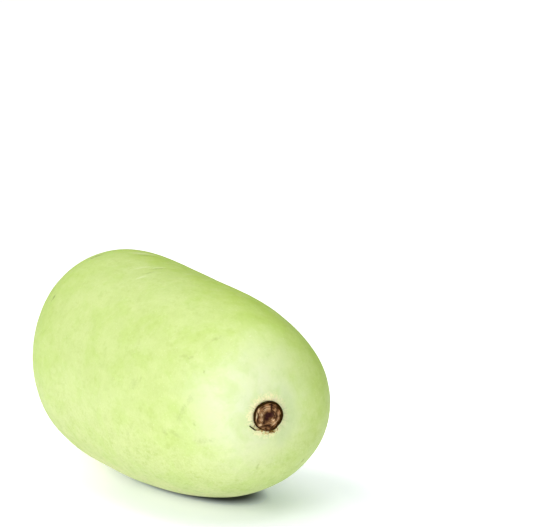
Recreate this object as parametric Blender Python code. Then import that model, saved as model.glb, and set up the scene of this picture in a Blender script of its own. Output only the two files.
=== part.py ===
"""Bottle gourd lying on its side: the pale green fruit, its dried blossom scar and its cut stem.

Metres, +Z up. +X runs to the blossom end and -X to the stem. The origin is on the surface that the gourd
rests on, under the middle of its bounding box.
"""

from math import atan2, cos, hypot, pi, radians, sin

import bmesh
import bpy
import numpy as np
from mathutils import Matrix, Vector

# Fruit: the outline is a superellipse towards each end, turned round X
FRUIT_RADIUS = 0.048
BLOSSOM_REACH = 0.1123
STEM_REACH = 0.0672
BLOSSOM_BLUNTNESS = 3.3
STEM_BLUNTNESS = 3.4
THINNING_PER_METRE = 0.81
SAG_RADIUS = 1.2
BEND_RADIUS = 3.0
OVAL_SHARE = 0.031
OVAL_ANGLE = radians(98)
TRIANGLE_SHARE = 0.0166
TRIANGLE_ANGLE = radians(109)
WAVE_HEIGHT = 0.00012
LIE_ANGLE = radians(3.44)
REST_CUT = 0.0008

# Blossom scar, off centre on the blossom end
SCAR_RADIUS = 0.0063
SCAR_WIDENING = 1.02
SCAR_OFFSET = 0.0060
SCAR_ANGLE = radians(185)
SCAR_LEAN = radians(3)
SCAR_ROOT = 0.0016
THREAD_RADIUS = 0.0003

# Stem stub, on the stem end
STEM_LENGTH = 0.0165
STEM_RADIUS = 0.0107
FLARE_RADIUS = 0.0165
STEM_ROOT = 0.0012
RIB_COUNT = 5
RIB_SHARE_AT_FLARE = 0.06
RIB_SHARE_AT_CUT = 0.03
STEM_BOW = 0.0024
CUT_SLANT = 0.06

# Clearance between pieces, measured across a seat's wall and under a root
GAP = 0.0003
RIBBED_WALL_GAP = 0.0004
CUTTER_TOP = 0.006

# Facets
FRUIT_STATIONS = 46
FRUIT_STEPS = 68
SCAR_STEPS = 52
STEM_STEPS = 70


def clear_scene():
    for item in list(bpy.data.objects):
        bpy.data.objects.remove(item, do_unlink=True)


def material(name, colour, roughness):
    """Plain Principled material; the colour is linear RGB."""
    made = bpy.data.materials.new(name)
    made.use_nodes = True
    shader = made.node_tree.nodes["Principled BSDF"]
    shader.inputs["Base Color"].default_value = (*colour, 1)
    shader.inputs["Roughness"].default_value = roughness
    shader.inputs["Metallic"].default_value = 0
    return made


def turned(name, outline, steps):
    """Closed mesh object turned round X from an outline of (x, radius) that starts and ends on the axis."""
    mesh = bpy.data.meshes.new(name)
    shape = bmesh.new()
    points = [shape.verts.new((x, radius, 0)) for x, radius in outline]
    edges = [shape.edges.new(pair) for pair in zip(points, points[1:])]
    bmesh.ops.spin(shape, geom=points + edges, cent=(0, 0, 0), axis=(1, 0, 0), angle=2 * pi,
                   steps=steps, use_merge=True)
    bmesh.ops.remove_doubles(shape, verts=shape.verts, dist=1e-6)
    bmesh.ops.recalc_face_normals(shape, faces=shape.faces)
    shape.to_mesh(mesh)
    shape.free()
    made = bpy.data.objects.new(name, mesh)
    bpy.context.collection.objects.link(made)
    return made


def reshape(item, rule):
    """Moves every vertex of a mesh object to where the rule puts it."""
    for vertex in item.data.vertices:
        vertex.co = rule(vertex.co)


def finish(item, made_of):
    item.data.materials.clear()
    item.data.materials.append(made_of)
    item.data.shade_smooth()
    item.data.set_sharp_from_angle(angle=radians(40))


def combine(item, other, operation):
    """Applies an EXACT Boolean with another object, which is then removed."""
    joint = item.modifiers.new(operation, "BOOLEAN")
    joint.operation = operation
    joint.solver = "EXACT"
    joint.object = other
    bpy.context.view_layer.update()
    result = item.evaluated_get(bpy.context.evaluated_depsgraph_get())
    mesh = bpy.data.meshes.new_from_object(result)
    item.modifiers.clear()
    item.data = mesh
    bpy.data.objects.remove(other, do_unlink=True)


def smoothstep(low, high, value):
    share = min(1.0, max(0.0, (value - low) / (high - low)))
    return share * share * (3 - 2 * share)


def outline_point(turn):
    """(x, radius) on the fruit's outline, from turn 0 at the blossom tip to pi at the stem tip."""
    if cos(turn) > 0:
        x = BLOSSOM_REACH * cos(turn) ** (2 / BLOSSOM_BLUNTNESS)
        fullness = sin(turn) ** (2 / BLOSSOM_BLUNTNESS)
    else:
        x = -STEM_REACH * abs(cos(turn)) ** (2 / STEM_BLUNTNESS)
        fullness = abs(sin(turn)) ** (2 / STEM_BLUNTNESS)
    return x, FRUIT_RADIUS * fullness * (1 - THINNING_PER_METRE * x)


def fruit_outline():
    """Points spaced evenly along the outline, both ends on the axis."""
    turns = np.linspace(0, pi, 3000)
    points = np.array([outline_point(turn) for turn in turns])
    steps = np.linalg.norm(np.diff(points, axis=0), axis=1)
    run = np.concatenate([[0], np.cumsum(steps)])
    even = np.interp(np.linspace(0, run[-1], FRUIT_STATIONS + 1), run, turns)
    inner = [outline_point(turn) for turn in even[1:-1]]
    return [(BLOSSOM_REACH, 0)] + inner + [(-STEM_REACH, 0)]


def section_share(angle):
    """How far the section stands out at an angle from +Y, compared with a circle."""
    oval = OVAL_SHARE * cos(2 * (angle - OVAL_ANGLE))
    triangle = TRIANGLE_SHARE * cos(3 * (angle - TRIANGLE_ANGLE))
    return 1 + oval + triangle


def skin_wave(x, angle):
    """Faint unevenness of the skin, about one wave to each few centimetres."""
    long_wave = sin(3 * angle + 70 * x + 0.4)
    cross_wave = 0.8 * sin(5 * angle - 95 * x + 1.9)
    short_wave = 0.5 * sin(8 * angle + 150 * x + 2.7)
    return WAVE_HEIGHT * (long_wave + cross_wave + short_wave)


def skin(point):
    """From the plain turned body to the skin: section, waves, and a middle that hangs below the ends."""
    plain = hypot(point.y, point.z)
    angle = atan2(point.z, point.y)
    radius = plain * section_share(angle) + skin_wave(point.x, angle) * plain / FRUIT_RADIUS
    bend = point.x ** 2 / (2 * BEND_RADIUS)
    sag = point.x ** 2 / (2 * SAG_RADIUS)
    return Vector((point.x, radius * cos(angle) + bend, radius * sin(angle) + sag))


def blossom_end_point(radius, angle):
    """Skin point of the blossom end at a distance from its tip."""
    plain = radius / (section_share(angle) * (1 - THINNING_PER_METRE * BLOSSOM_REACH))
    x = BLOSSOM_REACH * (1 - (plain / FRUIT_RADIUS) ** BLOSSOM_BLUNTNESS) ** (1 / BLOSSOM_BLUNTNESS)
    across = plain * (1 - THINNING_PER_METRE * x)
    return skin(Vector((x, across * cos(angle), across * sin(angle))))


def scar_matrix():
    """Places the scar: its X points out of the skin and leans a little to -Y."""
    step = 0.0005
    centre = blossom_end_point(SCAR_OFFSET, SCAR_ANGLE)
    outwards = blossom_end_point(SCAR_OFFSET + step, SCAR_ANGLE) - centre
    around = blossom_end_point(SCAR_OFFSET, SCAR_ANGLE + step / SCAR_OFFSET) - centre
    normal = outwards.cross(around).normalized()
    leaned = Matrix.Rotation(-SCAR_LEAN, 3, "Z") @ normal
    return Matrix.Translation(centre) @ leaned.to_track_quat("X", "Z").to_matrix().to_4x4()


def scar_outline():
    """(height, radius) from the root's middle over the dark rim and the ridged disc to the sunken middle."""
    buried = [(-SCAR_ROOT, 0), (-SCAR_ROOT, 0.60), (-SCAR_ROOT, 0.95)]
    rim = [(-0.0002, 1), (0.0006, 1), (0.0010, 0.97), (0.0011, 0.91), (0.0007, 0.85), (0.0000, 0.80)]
    disc = [(0.0003, 0.73), (0.0002, 0.65), (0.0004, 0.57), (0.0002, 0.49), (0.0002, 0.40)]
    middle = [(-0.0003, 0.31), (-0.0007, 0.20), (-0.0006, 0.10), (-0.0008, 0)]
    return [(height, share * SCAR_RADIUS) for height, share in buried + rim + disc + middle]


def scar_shape(point):
    """Wider than high, with an uneven rim and wrinkles on the disc."""
    radius = hypot(point.y, point.z)
    angle = atan2(point.z, point.y)
    share = radius / SCAR_RADIUS
    uneven = 1 + 0.014 * sin(2 * angle + 0.9) + 0.010 * sin(5 * angle + 2.0)
    top = smoothstep(-0.0012, -0.0004, point.x)
    lobes = cos(5 * angle + 0.6) + 0.6 * cos(3 * angle + 2.0)
    wrinkle = 0.00018 * lobes * sin(pi * min(share, 0.8) / 0.8) + 0.0001 * sin(4 * angle - 14 * share + 1.0)
    underside = smoothstep(0.8, 0.95, share) * smoothstep(0.2, 0.9, -sin(angle))
    lump = 0.00022 * sin(11 * angle + 0.5) * underside
    height = point.x + top * (wrinkle * smoothstep(0.05, 0.4, share) + lump)
    across = radius * uneven
    return Vector((height, across * cos(angle) * SCAR_WIDENING, across * sin(angle)))


def thread_points():
    """Route of the dry thread, from inside the rim out to its free tip, in the scar's own frame."""
    return [(0.0004, -0.0026, -0.0048), (0.0006, -0.0035, -0.0053), (0.0006, -0.0046, -0.0055),
            (0.0006, -0.0057, -0.0054), (0.0005, -0.0065, -0.0049), (0.0004, -0.0074, -0.0042),
            (0.0005, -0.0083, -0.0035)]


def thread():
    """Thin dry thread as a mesh object with closed ends."""
    curve = bpy.data.curves.new("thread", "CURVE")
    curve.dimensions = "3D"
    curve.bevel_depth = THREAD_RADIUS
    curve.bevel_resolution = 2
    curve.use_fill_caps = True
    points = thread_points()
    line = curve.splines.new("POLY")
    line.points.add(len(points) - 1)
    for index, point in enumerate(points):
        line.points[index].co = (*point, 1)
        line.points[index].radius = 0.75 + 0.45 * sin(pi * index / len(points))
    guide = bpy.data.objects.new("thread", curve)
    bpy.context.collection.objects.link(guide)
    bpy.context.view_layer.update()
    mesh = bpy.data.meshes.new_from_object(guide.evaluated_get(bpy.context.evaluated_depsgraph_get()))
    bpy.data.objects.remove(guide, do_unlink=True)
    made = bpy.data.objects.new("thread", mesh)
    bpy.context.collection.objects.link(made)
    return made


def stem_end_drop(radius):
    """How far the skin falls away from the stem tip at a distance from the axis."""
    plain = radius / (1 + THINNING_PER_METRE * STEM_REACH)
    return STEM_REACH * (1 - (1 - (plain / FRUIT_RADIUS) ** STEM_BLUNTNESS) ** (1 / STEM_BLUNTNESS))


def stem_outline():
    """(height, radius) from the root's middle over the flare and the stub to the middle of the cut."""
    top = STEM_LENGTH
    foot = [(-STEM_ROOT, 0), (-STEM_ROOT, 0.5), (-STEM_ROOT, 0.97), (0.0000, 1), (0.0003, 0.96),
            (0.0009, 0.87), (0.0021, 0.78), (0.0043, 0.70)]
    stub = [(0.5 * top, 1.03), (0.7 * top, 1), (0.9 * top, 1.01), (top, 1.03)]
    cut = [(top + 0.0003, 0.98), (top + 0.0001, 0.92), (top - 0.0004, 0.85), (top - 0.0002, 0.62),
           (top - 0.0004, 0.40), (top - 0.0002, 0.25), (top - 0.0007, 0.15), (top - 0.0007, 0)]
    flared = [(height, share * FLARE_RADIUS) for height, share in foot]
    return flared + [(height, share * STEM_RADIUS) for height, share in stub + cut]


def ribbed(radius, angle, rib_share):
    """Radius with five broad ribs and a narrow furrow between each two."""
    rib = cos(RIB_COUNT * angle) - 0.28 * cos(2 * RIB_COUNT * angle + 0.4)
    return radius * (1 + rib_share * rib + 0.02 * sin(angle + 0.7))


def stem_shape(point):
    """Ribs that fade up the stub, a foot that follows the skin, a slight bow and a slanted cut."""
    plain = hypot(point.y, point.z)
    angle = atan2(point.z, point.y)
    rise = smoothstep(0.0, 0.7 * STEM_LENGTH, point.x)
    rib_share = RIB_SHARE_AT_FLARE + (RIB_SHARE_AT_CUT - RIB_SHARE_AT_FLARE) * rise
    radius = ribbed(plain, angle, rib_share)
    foot = 1 - smoothstep(0.001, 0.006, point.x)
    height = point.x - foot * stem_end_drop(radius)
    height += CUT_SLANT * radius * sin(angle + 1.0) * smoothstep(0.75, 1.0, point.x / STEM_LENGTH)
    bow = STEM_BOW * max(0.0, point.x / STEM_LENGTH) ** 2
    return Vector((height, radius * cos(angle) - bow, radius * sin(angle) + 0.4 * bow))


def stem_matrix():
    """Places the stub on the stem tip, pointing to -X."""
    tip = skin(Vector((-STEM_REACH, 0, 0)))
    return Matrix.Translation(tip) @ Matrix.Rotation(pi, 4, "Z")


def seat_cutter(depth, radius, steps):
    """Plain turned plug that reaches from a seat's floor to well above the skin."""
    plug = [(-depth, 0), (-depth, 0.5 * radius), (-depth, radius), (CUTTER_TOP, radius), (CUTTER_TOP, 0)]
    return turned("cutter", plug, steps)


def scar_seat(point):
    """The scar's outline with clearance."""
    radius = hypot(point.y, point.z)
    angle = atan2(point.z, point.y)
    uneven = 1 + 0.014 * sin(2 * angle + 0.9) + 0.010 * sin(5 * angle + 2.0)
    return Vector((point.x, radius * uneven * cos(angle) * SCAR_WIDENING, radius * uneven * sin(angle)))


def stem_seat(point):
    """The flare's ribbed outline with clearance; the floor follows the skin."""
    angle = atan2(point.z, point.y)
    radius = ribbed(hypot(point.y, point.z), angle, RIB_SHARE_AT_FLARE)
    floor = point.x - stem_end_drop(radius) if point.x < 0 else point.x
    return Vector((floor, radius * cos(angle), radius * sin(angle)))


def make_fruit():
    fruit = turned("fruit", fruit_outline(), FRUIT_STEPS)
    reshape(fruit, skin)
    scar_plug = seat_cutter(SCAR_ROOT + GAP, SCAR_RADIUS + GAP * 1.2, SCAR_STEPS)
    reshape(scar_plug, scar_seat)
    scar_plug.matrix_world = scar_matrix()
    combine(fruit, scar_plug, "DIFFERENCE")
    stem_plug = seat_cutter(STEM_ROOT + GAP, FLARE_RADIUS + RIBBED_WALL_GAP, STEM_STEPS)
    reshape(stem_plug, stem_seat)
    stem_plug.matrix_world = stem_matrix()
    combine(fruit, stem_plug, "DIFFERENCE")
    flatten_rest(fruit)
    finish(fruit, material("skin", (0.66, 0.82, 0.30), 0.42))
    return fruit


def flatten_rest(fruit):
    """Cuts the small flat spot that the gourd rests on, with the fruit lying a little nose low."""
    down = Matrix.Rotation(-LIE_ANGLE, 3, "Y") @ Vector((0, 0, -1))
    lowest = max(vertex.co.dot(down) for vertex in fruit.data.vertices)
    shape = bmesh.new()
    shape.from_mesh(fruit.data)
    bmesh.ops.bisect_plane(shape, geom=shape.verts[:] + shape.edges[:] + shape.faces[:],
                           plane_co=down * (lowest - REST_CUT), plane_no=down, clear_outer=True)
    rim = [edge for edge in shape.edges if edge.is_boundary]
    bmesh.ops.contextual_create(shape, geom=rim)
    bmesh.ops.recalc_face_normals(shape, faces=shape.faces)
    shape.to_mesh(fruit.data)
    shape.free()


def make_scar():
    scar = turned("blossom_scar", scar_outline(), SCAR_STEPS)
    reshape(scar, scar_shape)
    combine(scar, thread(), "UNION")
    scar.matrix_world = scar_matrix()
    finish(scar, material("dried_scar", (0.13, 0.06, 0.03), 0.6))
    return scar


def make_stem():
    stem = turned("stem", stem_outline(), STEM_STEPS)
    reshape(stem, stem_shape)
    stem.matrix_world = stem_matrix()
    finish(stem, material("stalk", (0.33, 0.50, 0.10), 0.6))
    return stem


def stand(pieces):
    """Lays the pieces nose low on z = 0, with the origin under the middle of their box."""
    holder = bpy.data.objects.new("gourd", None)
    bpy.context.collection.objects.link(holder)
    holder.rotation_euler = (0, LIE_ANGLE, 0)
    for piece in pieces:
        piece.parent = holder
    bpy.context.view_layer.update()
    corners = []
    for piece in pieces:
        corners += [piece.matrix_world @ vertex.co for vertex in piece.data.vertices]
    corners = np.array(corners)
    low = corners.min(axis=0)
    high = corners.max(axis=0)
    holder.location = (-(low[0] + high[0]) / 2, -(low[1] + high[1]) / 2, -low[2])
    bpy.context.view_layer.update()


def main():
    clear_scene()
    stand([make_fruit(), make_scar(), make_stem()])


main()
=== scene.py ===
import random
from math import atan2, cos, exp, hypot, pi, radians, sin

import bmesh
import bpy
import numpy as np
from bpy.props import FloatProperty, FloatVectorProperty, IntProperty, PointerProperty
from mathutils import Matrix, Vector, noise


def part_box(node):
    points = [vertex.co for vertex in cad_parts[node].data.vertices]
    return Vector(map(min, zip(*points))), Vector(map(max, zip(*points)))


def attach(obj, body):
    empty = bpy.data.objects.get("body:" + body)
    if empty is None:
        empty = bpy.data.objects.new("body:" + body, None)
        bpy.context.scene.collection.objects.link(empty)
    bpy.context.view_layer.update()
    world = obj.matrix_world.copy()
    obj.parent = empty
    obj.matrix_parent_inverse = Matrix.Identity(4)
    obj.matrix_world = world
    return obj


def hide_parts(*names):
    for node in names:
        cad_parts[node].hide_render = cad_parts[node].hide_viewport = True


bl_info = {
    "name": "Bottle gourd",
    "version": (1, 0, 0),
    "blender": (4, 5, 0),
    "location": "View3D > Sidebar > Gourd",
    "description": "Dresses a bottle gourd: skin, blossom scar, stem, stem hairs and a plain studio",
    "category": "Object",
}

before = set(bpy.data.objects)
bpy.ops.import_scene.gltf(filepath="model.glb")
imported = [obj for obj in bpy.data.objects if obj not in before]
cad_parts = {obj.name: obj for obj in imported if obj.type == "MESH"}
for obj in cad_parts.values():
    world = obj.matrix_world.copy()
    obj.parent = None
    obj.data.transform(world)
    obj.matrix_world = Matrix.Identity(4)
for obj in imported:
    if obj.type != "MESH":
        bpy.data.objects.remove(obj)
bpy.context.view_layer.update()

# Fruit, as in the solids: a superellipse towards each end, turned round X. A wave of the skin is its
# share of the height, how many go round, its turn per metre along the fruit and its start.
FRUIT_RADIUS = 0.048
BLOSSOM_REACH = 0.1123
STEM_REACH = 0.0672
BLOSSOM_BLUNTNESS = 3.3
STEM_BLUNTNESS = 3.4
THINNING_PER_METRE = 0.81
SAG_RADIUS = 1.2
BEND_RADIUS = 3.0
OVAL_SHARE = 0.031
OVAL_ANGLE = radians(98)
TRIANGLE_SHARE = 0.0166
TRIANGLE_ANGLE = radians(109)
WAVE_HEIGHT = 0.00012
SKIN_WAVES = [(1.0, 3, 70, 0.4), (0.8, 5, -95, 1.9), (0.5, 8, 150, 2.7)]
LIE_ANGLE = radians(3.44)

# Blossom scar
SCAR_RADIUS = 0.0063
SCAR_WIDENING = 1.02
SCAR_OFFSET = 0.0060
SCAR_ANGLE = radians(185)
SCAR_LEAN = radians(3)
SCAR_ROOT = 0.0016
SCAR_LOBE_HEIGHT = 0.00018
SCAR_SPIRAL_HEIGHT = 0.0001
SCAR_LUMP_HEIGHT = 0.00022
PUCKER_DEPTH = 0.00022
PUCKER_REACH = 2.4

# Folds and hollows of the scar's disc, as seen from outside with its radius as the unit: how far
# right, how far up, half width, half height, lift in metres, and tone: below 0 dark, painted shade in
# the hollows; above 0 pale, paler tissue and painted light on the bumps; from about 1 a painted glint
SCAR_FOLDS = [
    (-0.22, 0.50, 0.28, 0.20, 0.00015, 0.30), (0.21, 0.56, 0.05, 0.28, -0.00030, -0.90),
    (0.48, 0.36, 0.10, 0.14, 0.00018, 0.35), (0.33, 0.22, 0.07, 0.14, -0.00015, -0.50),
    (0.38, -0.30, 0.12, 0.09, 0.00025, 0.60), (0.20, -0.46, 0.10, 0.08, 0.00015, 0.25),
    (-0.44, -0.21, 0.12, 0.11, 0.00025, 0.40), (-0.25, -0.42, 0.08, 0.16, -0.00018, -0.45),
    (-0.56, -0.57, 0.13, 0.09, 0.00025, 1.00), (-0.82, 0.03, 0.06, 0.21, 0.00012, 1.90),
    (-0.69, 0.43, 0.07, 0.14, 0.00012, 1.30), (-0.69, -0.12, 0.04, 0.24, -0.00018, -0.60),
    (-0.05, -0.66, 0.30, 0.07, -0.00012, -0.50), (-0.16, -0.86, 0.07, 0.06, -0.00030, -1.00),
    (-0.43, 0.08, 0.14, 0.16, 0.0, 0.32), (0.52, -0.05, 0.12, 0.22, 0.0, -0.12)
]
SCAR_HOLLOWS = [(0.08, 0.02, 0.33, 0.22), (-0.04, -0.18, 0.17, 0.19)]
FOLD_STRENGTH = 1.5
PALE_ARC_RADIUS = 0.70
PALE_ARC_LIFT = 0.0001
PALE_ARC_TONE = 0.5

# Dry thread from inside the rim to its free tip, a hair-thin strand beside the ring and short fibres
# under it, in the scar's own axes
THREAD_RADIUS = 0.0003
THREAD_ROUTE = [
    (0.0004, -0.0026, -0.0048), (0.0006, -0.0035, -0.0053), (0.0006, -0.0046, -0.0055),
    (0.0006, -0.0057, -0.0054), (0.0005, -0.0065, -0.0049), (0.0004, -0.0074, -0.0042),
    (0.0005, -0.0083, -0.0035)
]
FIBRE_RADIUS = 0.00012
STRAND_ROUTE = [
    (0.0006, -0.0056, -0.0017), (0.0007, -0.0061, -0.0031), (0.0006, -0.0063, -0.0042),
    (0.0005, -0.0060, -0.0052)
]
TUFT_FIBRES = 7
TUFT_START = 0.0008
TUFT_STEP = 0.00022
TUFT_FOOT = Vector((0, 0.0015, -0.0069))

# Stem stub
STEM_LENGTH = 0.0165
STEM_RADIUS = 0.0107
FLARE_RADIUS = 0.0165
STEM_ROOT = 0.0012
RIB_COUNT = 5
RIB_SHARE_AT_FLARE = 0.06
RIB_SHARE_AT_CUT = 0.03
STEM_BOW = 0.0024
CUT_SLANT = 0.06
CUT_EDGE = STEM_LENGTH + 0.0003
CRUST_ANGLE = radians(200)
LOBE_RING = 1.10
LOBE_RING_WIDTH = 0.13
HAIR_SEED = 11
STALK_VALUES = ("rise", "rib", "cut", "ring", "crust")

# How near along X a point of the skin counts as beside the scar or the stem
NEAR_ALONG = 0.01
LOBES_NEAR_ALONG = 0.012

# Camera: the photograph's framing of the gourd
AIM = Vector((0.0144, 0.0390, 0.0979))
IMAGE_WIDTH = 533
FOCAL_PIXELS = 2200
SENSOR_WIDTH = 36

# Small marks on the skin: millimetres along the fruit and degrees round it from +Y, then slope in
# degrees in the photograph's view, half length and half width in millimetres, and strength, below 0 for
# a pale mark. Pale marks are painted light on shallow wrinkles at the top, and the dark marks beside
# them their painted shade; the other dark marks are spots of the skin.
MARKS = [
    (97.0, 147, 0, 0.9, 0.8, 0.45), (88.5, 142, -10, 1.7, 0.9, 0.26), (84.5, 143, -12, 3.4, 0.8, 0.14),
    (92.5, 123, 15, 2.8, 1.2, 0.26), (92.0, 177, 50, 2.8, 2.0, 0.22), (94.5, 169, 50, 3.8, 1.8, 0.16),
    (90.0, -177, 75, 2.6, 2.0, 0.22), (81.5, -166, -20, 2.2, 1.6, 0.26), (87.0, -165, -8, 4.4, 1.6, 0.20),
    (97.0, -173, 0, 1.0, 0.8, 0.34), (100.0, -159, 16, 5.6, 1.5, 0.20), (55.5, -161, 0, 1.5, 1.3, 0.26),
    (64.5, 164, 85, 1.8, 0.7, 0.26), (60.5, 168, 10, 4.2, 2.8, 0.18), (11.5, 98, -3, 4.2, 1.2, 0.42),
    (14.0, 105, 10, 3.8, 1.2, 0.34), (108.0, -109, 85, 2.8, 0.7, 0.28), (76.0, -115, 5, 3.0, 0.8, 0.65),
    (104.5, -56, 60, 1.5, 0.8, 0.70), (-36.0, 142, 50, 2.4, 1.1, 0.75), (-36.5, 109, 20, 4.4, 2.4, 0.70),
    (-16.0, 90, -3, 6.5, 2.2, 0.38), (-21.0, 88, -3, 7.0, 3.0, -0.60), (9.5, 97, -3, 4.4, 1.3, -0.50),
    (15.5, 110, 10, 4.0, 1.3, -0.50), (4.0, 102, 4, 6.0, 1.3, -0.40)
]

# Broad tints of the skin: the middle of the paler blossom end, and where each tint starts and where it
# is full, in metres from that middle, along X, across Y or up Z
PALE_CENTRE = (0.093, -0.010, 0.050)
PALE_RANGE = (0.040, 0.006)
STEM_RANGE = (-0.015, -0.080)
FAR_SIDE_RANGE = (-0.030, 0.030)
RIDGE_SIDE_RANGE = (-0.02, 0.01)
RIDGE_RANGE = (0.074, 0.092)
LOW_RANGE = (0.058, 0.012)
LYING_RANGE = (0.016, 0.003)

# Colours that aren't in the settings, as linear RGB: skin, then the skin round the scar
# The first two are painted shade and green reflection, on the far side and along its ridge
FAR_SIDE_PAINTED_SHADE = (0.50, 0.70, 0.10)
RIDGE_PAINTED_SHADE = (0.51, 0.70, 0.05)
LOW_OLIVE = (0.68, 0.65, 0.38)
LYING_CREAM = (0.88, 0.80, 0.46)
CLOUD_YELLOW = (0.78, 0.88, 0.42)
DEEP_GREEN = (0.50, 0.70, 0.13)
SPOT_OLIVE = (0.40, 0.54, 0.08)
GRAIN_OLIVE = (0.38, 0.50, 0.08)
STREAK_GREEN = (0.44, 0.60, 0.10)
FLECK_CREAM = (0.90, 0.95, 0.62)
# Dark spots of the skin and painted shade of wrinkles; pale marks are painted light on wrinkles
DARK_SPOT_AND_PAINTED_SHADE = (0.25, 0.34, 0.05)
PAINTED_LIGHT_MARK = (0.86, 0.92, 0.58)
LOBE_GREEN = (0.17, 0.33, 0.04)
HALO_CREAM = (0.99, 0.93, 0.56)
# Painted shade for the skin right of the scar
SCAR_RIGHT_PAINTED_SHADE = (0.52, 0.64, 0.34)
PUCKER_OLIVE = (0.34, 0.40, 0.12)
FRINGE_BROWN = (0.50, 0.27, 0.05)
TUFT_BROWN = (0.26, 0.12, 0.02)

# Scar and threads
PATCH_BROWN = (0.16, 0.072, 0.024)
# Tan of the raised folds, partly the tissue and partly painted light; then a painted glint on the highest
# folds, and painted shade in the creases and hollows
FOLD_TAN_AND_PAINTED_LIGHT = (0.82, 0.58, 0.35)
PAINTED_GLINT_CREAM = (1.0, 0.94, 0.70)
CREASE_PAINTED_SHADE = (0.045, 0.014, 0.004)
MIDDLE_MAROON = (0.042, 0.008, 0.006)
WORN_BROWN = (0.11, 0.045, 0.012)
THREAD_BROWN = (0.15, 0.080, 0.012)
THREAD_TAN = (0.34, 0.20, 0.05)
THREAD_BLACK = (0.022, 0.019, 0.003)
THREAD_OLIVE = (0.07, 0.058, 0.012)

# Stem: its side, its cut face and the hairs
FURROW_GREEN = (0.22, 0.42, 0.05)
STRIPE_GREEN = (0.55, 0.74, 0.24)
FOOT_GREEN = (0.52, 0.70, 0.16)
RIB_TIP_GREEN = (0.13, 0.28, 0.03)
EDGE_STRAW = (0.78, 0.72, 0.42)
BARK_BROWN = (0.085, 0.026, 0.010)
CUT_BROWN = (0.22, 0.13, 0.03)
SPECK_BROWN = (0.11, 0.045, 0.012)
SPECK_STRAW = (0.56, 0.48, 0.20)
RING_OLIVE = (0.44, 0.38, 0.14)
CORE_GREEN = (0.27, 0.31, 0.06)
PIT_GREEN = (0.15, 0.17, 0.03)
CUT_RIM_BROWN = (0.06, 0.022, 0.007)
HAIR_WHITE = (0.86, 0.90, 0.76)
HAIR_BRIGHT = (0.98, 0.98, 0.95)

# Light of the surroundings: full on the left, weaker and greener on the right of the photograph's
# view, and white where the camera looks straight at it
DIM_SIDE = (-0.05, 1.0, 0.0)
DIM_RANGE = (-0.5, 0.9)
BRIGHT_SKY = (0.51, 0.51, 0.51)
DIM_SKY = (0.10, 0.15, 0.04)
SEEN_SKY = (1.05, 1.05, 1.05)
LIGHT_AIM = Vector((0.02, 0, 0.05))

# Floor: a painted shadow, dark grey in an oval close under the gourd, and a painted glow, a little like
# a lit table, more to the camera and away from the gourd than near it, where it leaves a soft painted
# shadow. The ranges are metres from the glow's middle.
FLOOR_RADIUS = 6
FLOOR_WHITE = (0.95, 0.95, 0.95)
FLOOR_BRIGHT = (0.97, 0.97, 0.97)
PAINTED_SHADOW_CENTRE = (0, 0.008, 0)
PAINTED_SHADOW_SCALE = (1 / 0.050, 1 / 0.020, 1)
PAINTED_SHADOW_GREY = (0.08, 0.08, 0.08)
GLOW_CENTRE = (0.045, 0.012, 0)
GLOW_RANGE = (0.042, 0.086)
NEAR_GLOW = (0.66, 0.75, 1.0)
FAR_GLOW = (1, 1, 1)
FLOOR_GLOW = 0.27
FAR_FLOOR_GLOW = 0.60
UNSEEN_FLOOR_GLOW = 0.27
HORIZON_RANGE = (0.2, 2.0)
HORIZON_GLOW = 0.5


def smoothstep(low, high, value):
    share = min(1.0, max(0.0, (value - low) / (high - low)))
    return share * share * (3 - 2 * share)


def smooth_outline(points, times):
    """Smooth curve through outline points, with a number of steps between each two."""
    given = [Vector(point) for point in points]
    ends = [given[0]] + given + [given[-1]]
    curve = []
    for before, here, there, after in zip(ends, ends[1:], ends[2:], ends[3:]):
        for step in range(times):
            t = step / times
            straight = 2 * here + (there - before) * t
            bent = (2 * before - 5 * here + 4 * there - after) * t ** 2
            twist = (3 * here - before - 3 * there + after) * t ** 3
            curve.append((straight + bent + twist) / 2)
    return curve + [given[-1]]


def turned(outline, steps):
    """Closed bmesh turned round X from (x, radius) points that start and end on the axis."""
    shape = bmesh.new()
    points = [shape.verts.new((point[0], max(0, point[1]), 0)) for point in outline]
    edges = [shape.edges.new(pair) for pair in zip(points, points[1:])]
    bmesh.ops.spin(shape, geom=points + edges, cent=(0, 0, 0), axis=(1, 0, 0), angle=2 * pi,
                   steps=steps, use_merge=True)
    bmesh.ops.remove_doubles(shape, verts=shape.verts, dist=1e-7)
    bmesh.ops.recalc_face_normals(shape, faces=shape.faces)
    return shape


def polar(point):
    """Distance from the X axis and angle from +Y."""
    return hypot(point.y, point.z), atan2(point.z, point.y)


def from_polar(x, radius, angle):
    return Vector((x, radius * cos(angle), radius * sin(angle)))


def linked(name, data):
    """New object in the scene, at the origin."""
    made = bpy.data.objects.new(name, data)
    bpy.context.collection.objects.link(made)
    return made


def as_object(shape, name, place):
    """Smooth mesh object at the origin, with its place baked into the mesh."""
    bmesh.ops.transform(shape, matrix=place, verts=shape.verts)
    mesh = bpy.data.meshes.new(name)
    shape.to_mesh(mesh)
    shape.free()
    mesh.shade_smooth()
    return linked(name, mesh)


def store(made, names, rows):
    """Keeps a row of numbers for each vertex as attributes that a material reads."""
    for name, numbers in zip(names, zip(*rows)):
        made.data.attributes.new(name, "FLOAT", "POINT").data.foreach_set("value", numbers)


def replace_node(made, node, made_of):
    """Gives a piece its material and lets it stand for a node of the solids."""
    made.data.materials.append(made_of)
    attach(made, "root")
    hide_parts(node)


def end_on(side):
    """Reach along X and bluntness of the blossom end for a side above 0, or else of the stem end."""
    return (BLOSSOM_REACH, BLOSSOM_BLUNTNESS) if side > 0 else (-STEM_REACH, STEM_BLUNTNESS)


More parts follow.
